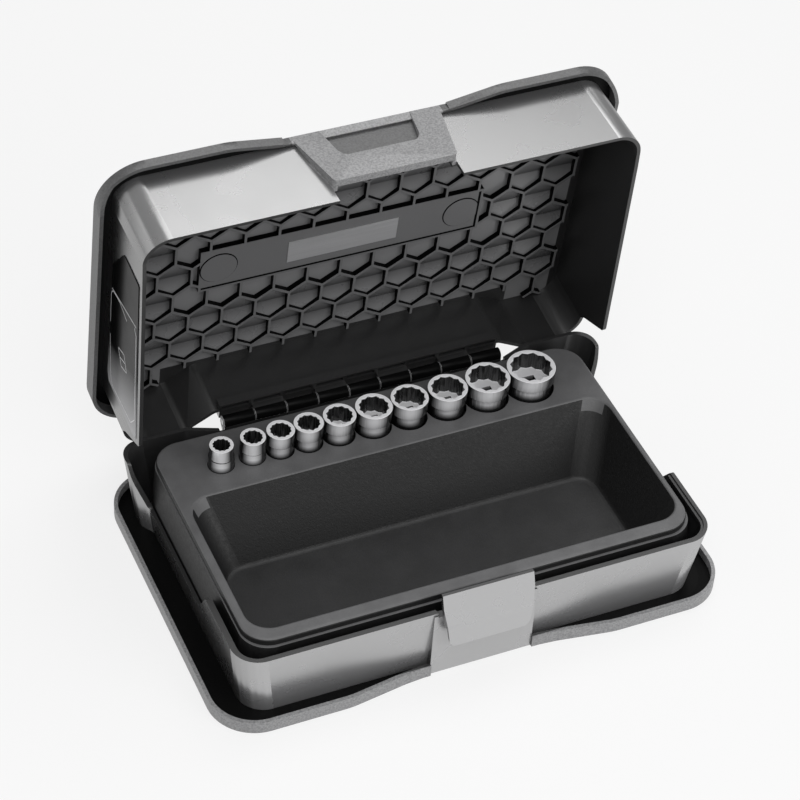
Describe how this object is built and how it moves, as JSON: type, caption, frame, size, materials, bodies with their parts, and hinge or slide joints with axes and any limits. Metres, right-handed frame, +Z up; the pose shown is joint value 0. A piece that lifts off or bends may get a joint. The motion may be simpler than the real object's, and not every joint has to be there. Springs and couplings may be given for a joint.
{
  "type": "hinged socket set case",
  "caption": "Hinged plastic case for a socket set: base and lid shells, sprung front latch, lift-out tray with an open bin and a row of twelve-point sockets.",
  "frame": {"origin": "middle of the base's flat bottom face, midway between its outer edges in length; the plan centre is set by the front edge 110 mm ahead and the back edge 115 mm behind", "axes": "+X along the case's length to the right seen from the latch side, +Y from the latch to the hinge, +Z up out of the base"},
  "size_m": [0.34, 0.2549, 0.2648],
  "materials": {
    "case_plastic": "semi-gloss black moulding with grained edges",
    "pin_steel": "plain steel wire",
    "latch_plastic": "semi-gloss black moulding",
    "tray_plastic": "fine grained matt black",
    "socket_chrome": "satin chrome plate",
    "lid_plastic": "semi-gloss black moulding with grained edges",
    "comb_plastic": "semi-gloss black ribs",
    "nameplate_film": "blank satin plate",
    "label_film": "glossy printed film, no lettering"
  },
  "bodies": {
    "base": {"base_shell": "case_plastic", "hinge_pin": "pin_steel"},
    "latch": {"latch_flap": "latch_plastic"},
    "tray": {"tray_insert": "tray_plastic"},
    "socket_10mm": {"socket_10mm": "socket_chrome"},
    "socket_11mm": {"socket_11mm": "socket_chrome"},
    "socket_12mm": {"socket_12mm": "socket_chrome"},
    "socket_13mm": {"socket_13mm": "socket_chrome"},
    "socket_15mm": {"socket_15mm": "socket_chrome"},
    "socket_17mm": {"socket_17mm": "socket_chrome"},
    "socket_18mm": {"socket_18mm": "socket_chrome"},
    "socket_19mm": {"socket_19mm": "socket_chrome"},
    "socket_22mm": {"socket_22mm": "socket_chrome"},
    "socket_24mm": {"socket_24mm": "socket_chrome"},
    "lid": {"lid_shell": "lid_plastic", "lid_honeycomb": "comb_plastic", "blank_nameplate": "nameplate_film", "side_label": "label_film"}
  },
  "joints": [
    {"name": "lid_hinge", "type": "hinge", "parent": "base", "child": "lid", "pos_m": [0, 0.0913, 0.0594], "axis": [-1, 0, 0], "range_deg": [-81.75, 8.25]},
    {"name": "latch_flap_hinge", "type": "hinge", "parent": "base", "child": "latch", "pos_m": [0, -0.1033, 0.047], "axis": [-1, 0, 0], "range_deg": [0, 10], "stiffness_Nm_per_rad": 0.4},
    {"name": "tray_lift", "type": "slide", "parent": "base", "child": "tray", "axis": [0, 0, 1], "range_m": [0, 0.06]},
    {"name": "socket_10mm_lift", "type": "slide", "parent": "tray", "child": "socket_10mm", "axis": [0, 0, 1], "range_m": [0, 0.032]},
    {"name": "socket_11mm_lift", "type": "slide", "parent": "tray", "child": "socket_11mm", "axis": [0, 0, 1], "range_m": [0, 0.032]},
    {"name": "socket_12mm_lift", "type": "slide", "parent": "tray", "child": "socket_12mm", "axis": [0, 0, 1], "range_m": [0, 0.032]},
    {"name": "socket_13mm_lift", "type": "slide", "parent": "tray", "child": "socket_13mm", "axis": [0, 0, 1], "range_m": [0, 0.032]},
    {"name": "socket_15mm_lift", "type": "slide", "parent": "tray", "child": "socket_15mm", "axis": [0, 0, 1], "range_m": [0, 0.032]},
    {"name": "socket_17mm_lift", "type": "slide", "parent": "tray", "child": "socket_17mm", "axis": [0, 0, 1], "range_m": [0, 0.032]},
    {"name": "socket_18mm_lift", "type": "slide", "parent": "tray", "child": "socket_18mm", "axis": [0, 0, 1], "range_m": [0, 0.032]},
    {"name": "socket_19mm_lift", "type": "slide", "parent": "tray", "child": "socket_19mm", "axis": [0, 0, 1], "range_m": [0, 0.032]},
    {"name": "socket_22mm_lift", "type": "slide", "parent": "tray", "child": "socket_22mm", "axis": [0, 0, 1], "range_m": [0, 0.032]},
    {"name": "socket_24mm_lift", "type": "slide", "parent": "tray", "child": "socket_24mm", "axis": [0, 0, 1], "range_m": [0, 0.032]}
  ]
}
